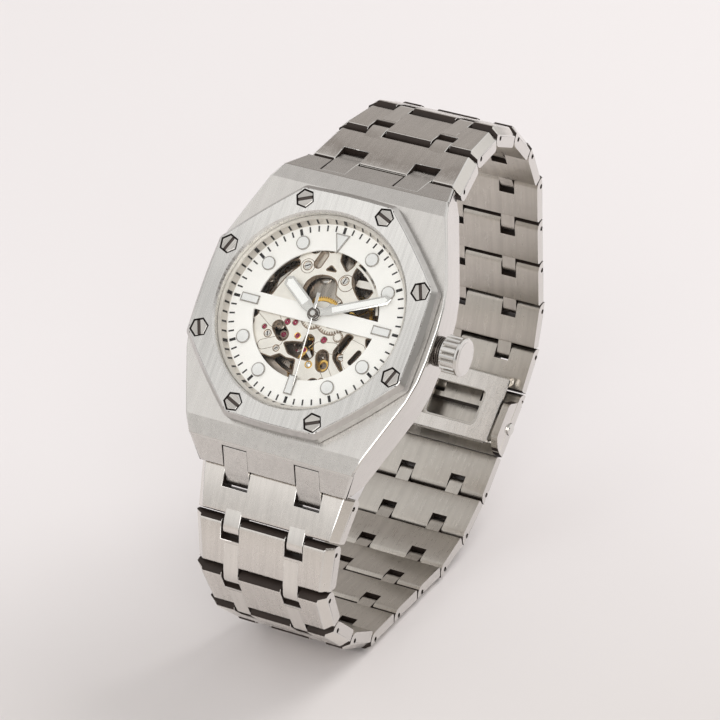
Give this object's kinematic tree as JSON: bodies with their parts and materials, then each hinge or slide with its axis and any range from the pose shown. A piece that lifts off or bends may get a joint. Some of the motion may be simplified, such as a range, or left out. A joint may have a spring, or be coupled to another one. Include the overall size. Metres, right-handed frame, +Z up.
{
  "type": "wristwatch",
  "caption": "Open-worked automatic wristwatch with an octagonal screwed bezel, fluted crown and articulated steel link bracelet with a folding clasp.",
  "frame": {"origin": "centre of the flat outer face of lower_link_7, the middle one of the three coplanar bracelet links that the watch rests on; the ground is z = 0", "axes": "+X towards 3 o'clock and the crown, +Z up, -Y is the side that the dial looks to; the dial leans back 47.5 degrees from flat"},
  "size_m": [0.0447, 0.0779, 0.0753],
  "materials": {
    "brushed_steel": "fine vertical brushing, bevels polished",
    "polished_steel": "polished",
    "hand_steel": "polished, light inlay",
    "crystal_glass": "clear, flat",
    "gasket": "matt",
    "dial_white": "satin silver-white",
    "flange_satin": "satin",
    "gilt_wheel": "gilt",
    "movement_rhodium": "frosted and striped"
  },
  "bodies": {
    "case": {"mid_case": "brushed_steel", "bezel": "brushed_steel", "bezel_screw_1": "polished_steel", "bezel_screw_2": "polished_steel", "bezel_screw_3": "polished_steel", "bezel_screw_4": "polished_steel", "bezel_screw_5": "polished_steel", "bezel_screw_6": "polished_steel", "bezel_screw_7": "polished_steel", "bezel_screw_8": "polished_steel", "crystal": "crystal_glass", "crystal_gasket": "gasket", "rehaut_ring": "flange_satin", "dial": "dial_white", "movement_holder": "movement_rhodium", "main_plate": "movement_rhodium", "train_bridge": "movement_rhodium", "balance_cock": "movement_rhodium", "case_back_ring": "brushed_steel", "case_back_crystal": "crystal_glass", "crown_tube": "polished_steel"},
    "stem": {"winding_stem": "polished_steel"},
    "crown": {"crown": "polished_steel"},
    "minute_hand": {"minute_hand": "hand_steel"},
    "hour_hand": {"hour_hand": "hand_steel"},
    "fourth_arbor": {"fourth_wheel": "gilt_wheel", "second_hand": "hand_steel"},
    "third_arbor": {"third_wheel": "gilt_wheel"},
    "center_arbor": {"center_wheel": "gilt_wheel"},
    "barrel": {"mainspring_barrel": "movement_rhodium"},
    "escape_arbor": {"escape_wheel": "gilt_wheel"},
    "balance": {"balance_wheel": "gilt_wheel"},
    "pallet_fork": {"pallet_fork": "movement_rhodium"},
    "rotor": {"rotor": "movement_rhodium"},
    "upper_link_1": {"upper_link_1": "brushed_steel"},
    "upper_link_2": {"upper_link_2": "brushed_steel"},
    "upper_link_3": {"upper_link_3": "brushed_steel"},
    "upper_link_4": {"upper_link_4": "brushed_steel"},
    "upper_link_5": {"upper_link_5": "brushed_steel"},
    "upper_link_6": {"upper_link_6": "brushed_steel"},
    "upper_link_7": {"upper_link_7": "brushed_steel"},
    "upper_link_8": {"upper_link_8": "brushed_steel"},
    "upper_link_9": {"upper_link_9": "brushed_steel"},
    "upper_link_10": {"upper_link_10": "brushed_steel"},
    "lower_link_1": {"lower_link_1": "brushed_steel"},
    "lower_link_2": {"lower_link_2": "brushed_steel"},
    "lower_link_3": {"lower_link_3": "brushed_steel"},
    "lower_link_4": {"lower_link_4": "brushed_steel"},
    "lower_link_5": {"lower_link_5": "brushed_steel"},
    "lower_link_6": {"lower_link_6": "brushed_steel"},
    "lower_link_7": {"lower_link_7": "brushed_steel"},
    "lower_link_8": {"lower_link_8": "brushed_steel"},
    "lower_link_9": {"lower_link_9": "brushed_steel"},
    "lower_link_10": {"lower_link_10": "brushed_steel"},
    "clasp_cover": {"clasp_cover": "brushed_steel"},
    "clasp_outer_blade": {"clasp_outer_blade": "brushed_steel"},
    "clasp_inner_blade": {"clasp_inner_blade": "brushed_steel"},
    "clasp_lower_end": {"clasp_lower_end": "brushed_steel"},
    "push_button_left": {"push_button_left": "polished_steel"},
    "push_button_right": {"push_button_right": "polished_steel"}
  },
  "joints": [
    {"name": "crown_pull", "type": "slide", "parent": "case", "child": "stem", "axis": [1, 0, 0], "range_m": [0, 0.001]},
    {"name": "crown_turn", "type": "hinge", "parent": "stem", "child": "crown", "pos_m": [0.022, -0.00985, 0.05463], "axis": [1, 0, 0], "continuous": true},
    {"name": "minute_set", "type": "hinge", "parent": "case", "child": "minute_hand", "pos_m": [0, -0.01273, 0.05727], "axis": [0, 0.7373, -0.6756], "continuous": true},
    {"name": "hour_follow", "type": "hinge", "parent": "case", "child": "hour_hand", "pos_m": [0, -0.01251, 0.05706], "axis": [0, 0.7373, -0.6756], "continuous": true},
    {"name": "seconds", "type": "hinge", "parent": "case", "child": "fourth_arbor", "pos_m": [0, -0.00919, 0.05402], "axis": [0, 0.7373, -0.6756], "continuous": true},
    {"name": "third_turn", "type": "hinge", "parent": "case", "child": "third_arbor", "pos_m": [0.0041, -0.0084, 0.05547], "axis": [0, 0.7373, -0.6756], "continuous": true},
    {"name": "center_turn", "type": "hinge", "parent": "case", "child": "center_arbor", "pos_m": [0, -0.01067, 0.05538], "axis": [0, 0.7373, -0.6756], "continuous": true},
    {"name": "barrel_turn", "type": "hinge", "parent": "case", "child": "barrel", "pos_m": [-0.0015, -0.00569, 0.05977], "axis": [0, 0.7373, -0.6756], "continuous": true},
    {"name": "escape_turn", "type": "hinge", "parent": "case", "child": "escape_arbor", "pos_m": [-0.0029, -0.01186, 0.05274], "axis": [0, 0.7373, -0.6756], "continuous": true},
    {"name": "balance_swing", "type": "hinge", "parent": "case", "child": "balance", "pos_m": [0.0018, -0.01462, 0.04869], "axis": [0, 0.7373, -0.6756], "range_deg": [-135, 135]},
    {"name": "pallet_rock", "type": "hinge", "parent": "case", "child": "pallet_fork", "pos_m": [-0.0012, -0.01307, 0.05134], "axis": [0, 0.7373, -0.6756], "range_deg": [-5.5, 5.5]},
    {"name": "rotor_turn", "type": "hinge", "parent": "case", "child": "rotor", "pos_m": [0, -0.00801, 0.05294], "axis": [0, 0.7373, -0.6756], "continuous": true},
    {"name": "upper_link_1_hinge", "type": "hinge", "parent": "case", "child": "upper_link_1", "pos_m": [0, 0.01096, 0.07083], "axis": [1, 0, 0], "range_deg": [0, 32]},
    {"name": "upper_link_2_hinge", "type": "hinge", "parent": "upper_link_1", "child": "upper_link_2", "pos_m": [0, 0.01866, 0.07297], "axis": [1, 0, 0], "range_deg": [0, 15]},
    {"name": "upper_link_3_hinge", "type": "hinge", "parent": "upper_link_2", "child": "upper_link_3", "pos_m": [0, 0.02666, 0.07304], "axis": [1, 0, 0], "range_deg": [0, 25]},
    {"name": "upper_link_4_hinge", "type": "hinge", "parent": "upper_link_3", "child": "upper_link_4", "pos_m": [0, 0.03394, 0.06972], "axis": [1, 0, 0], "range_deg": [0, 19]},
    {"name": "upper_link_5_hinge", "type": "hinge", "parent": "upper_link_4", "child": "upper_link_5", "pos_m": [0, 0.03975, 0.06421], "axis": [1, 0, 0], "range_deg": [0, 18]},
    {"name": "upper_link_6_hinge", "type": "hinge", "parent": "upper_link_5", "child": "upper_link_6", "pos_m": [0, 0.04356, 0.05718], "axis": [1, 0, 0], "range_deg": [0, 23]},
    {"name": "upper_link_7_hinge", "type": "hinge", "parent": "upper_link_6", "child": "upper_link_7", "pos_m": [0, 0.04433, 0.04922], "axis": [1, 0, 0], "range_deg": [0, 4]},
    {"name": "upper_link_8_hinge", "type": "hinge", "parent": "upper_link_7", "child": "upper_link_8", "pos_m": [0, 0.0451, 0.04126], "axis": [1, 0, 0], "range_deg": [0, 4]},
    {"name": "upper_link_9_hinge", "type": "hinge", "parent": "upper_link_8", "child": "upper_link_9", "pos_m": [0, 0.04573, 0.03328], "axis": [1, 0, 0], "range_deg": [0, 19]},
    {"name": "upper_link_10_hinge", "type": "hinge", "parent": "upper_link_9", "child": "upper_link_10", "pos_m": [0, 0.04372, 0.02553], "axis": [1, 0, 0], "range_deg": [0, 23]},
    {"name": "clasp_cover_hinge", "type": "hinge", "parent": "upper_link_10", "child": "clasp_cover", "pos_m": [0, 0.03885, 0.01919], "axis": [1, 0, 0], "range_deg": [0, 10.48]},
    {"name": "lower_link_1_hinge", "type": "hinge", "parent": "case", "child": "lower_link_1", "pos_m": [0, -0.02418, 0.03249], "axis": [-1, 0, 0], "range_deg": [0, 15]},
    {"name": "lower_link_2_hinge", "type": "hinge", "parent": "lower_link_1", "child": "lower_link_2", "pos_m": [0, -0.02764, 0.02584], "axis": [-1, 0, 0], "range_deg": [0, 22]},
    {"name": "lower_link_3_hinge", "type": "hinge", "parent": "lower_link_2", "child": "lower_link_3", "pos_m": [0, -0.02841, 0.01787], "axis": [-1, 0, 0], "range_deg": [0, 30]},
    {"name": "lower_link_4_hinge", "type": "hinge", "parent": "lower_link_3", "child": "lower_link_4", "pos_m": [0, -0.02509, 0.01059], "axis": [-1, 0, 0], "range_deg": [0, 24]},
    {"name": "lower_link_5_hinge", "type": "hinge", "parent": "lower_link_4", "child": "lower_link_5", "pos_m": [0, -0.0191, 0.00529], "axis": [-1, 0, 0], "range_deg": [0, 14]},
    {"name": "lower_link_6_hinge", "type": "hinge", "parent": "lower_link_5", "child": "lower_link_6", "pos_m": [0, -0.012, 0.0016], "axis": [-1, 0, 0], "range_deg": [0, 27.5]},
    {"name": "lower_link_7_hinge", "type": "hinge", "parent": "lower_link_6", "child": "lower_link_7", "pos_m": [0, -0.004, 0.0016], "axis": [-1, 0, 0], "range_deg": [0, 4]},
    {"name": "lower_link_8_hinge", "type": "hinge", "parent": "lower_link_7", "child": "lower_link_8", "pos_m": [0, 0.004, 0.0016], "axis": [-1, 0, 0], "range_deg": [0, 4]},
    {"name": "lower_link_9_hinge", "type": "hinge", "parent": "lower_link_8", "child": "lower_link_9", "pos_m": [0, 0.012, 0.0016], "axis": [-1, 0, 0], "range_deg": [0, 16.5]},
    {"name": "lower_link_10_hinge", "type": "hinge", "parent": "lower_link_9", "child": "lower_link_10", "pos_m": [0, 0.01967, 0.00387], "axis": [-1, 0, 0], "range_deg": [0, 15]},
    {"name": "clasp_end_hinge", "type": "hinge", "parent": "lower_link_10", "child": "clasp_lower_end", "pos_m": [0, 0.02649, 0.00805], "axis": [-1, 0, 0], "range_deg": [0, 10.52]},
    {"name": "outer_blade_hinge", "type": "hinge", "parent": "clasp_cover", "child": "clasp_outer_blade", "pos_m": [0, 0.03056, 0.01569], "axis": [1, 0, 0], "range_deg": [0, 140]},
    {"name": "inner_blade_hinge", "type": "hinge", "parent": "clasp_outer_blade", "child": "clasp_inner_blade", "pos_m": [0, 0.03866, 0.02299], "axis": [-1, 0, 0], "range_deg": [0, 90]},
    {"name": "push_button_right_press", "type": "slide", "parent": "clasp_cover", "child": "push_button_right", "axis": [-1, 0, 0], "range_m": [0, 0.0004], "stiffness_N_per_m": 30},
    {"name": "push_button_left_press", "type": "slide", "parent": "clasp_cover", "child": "push_button_left", "axis": [1, 0, 0], "range_m": [0, 0.0004], "stiffness_N_per_m": 30}
  ],
  "couplings": [
    {"joint": "hour_follow", "follows": "minute_set", "ratio": 0.083333},
    {"joint": "third_turn", "follows": "seconds", "ratio": -0.13333},
    {"joint": "center_turn", "follows": "seconds", "ratio": 0.016667},
    {"joint": "barrel_turn", "follows": "seconds", "ratio": -0.0020833},
    {"joint": "escape_turn", "follows": "seconds", "ratio": -10},
    {"joint": "pallet_rock", "follows": "balance_swing", "ratio": 0.04}
  ]
}
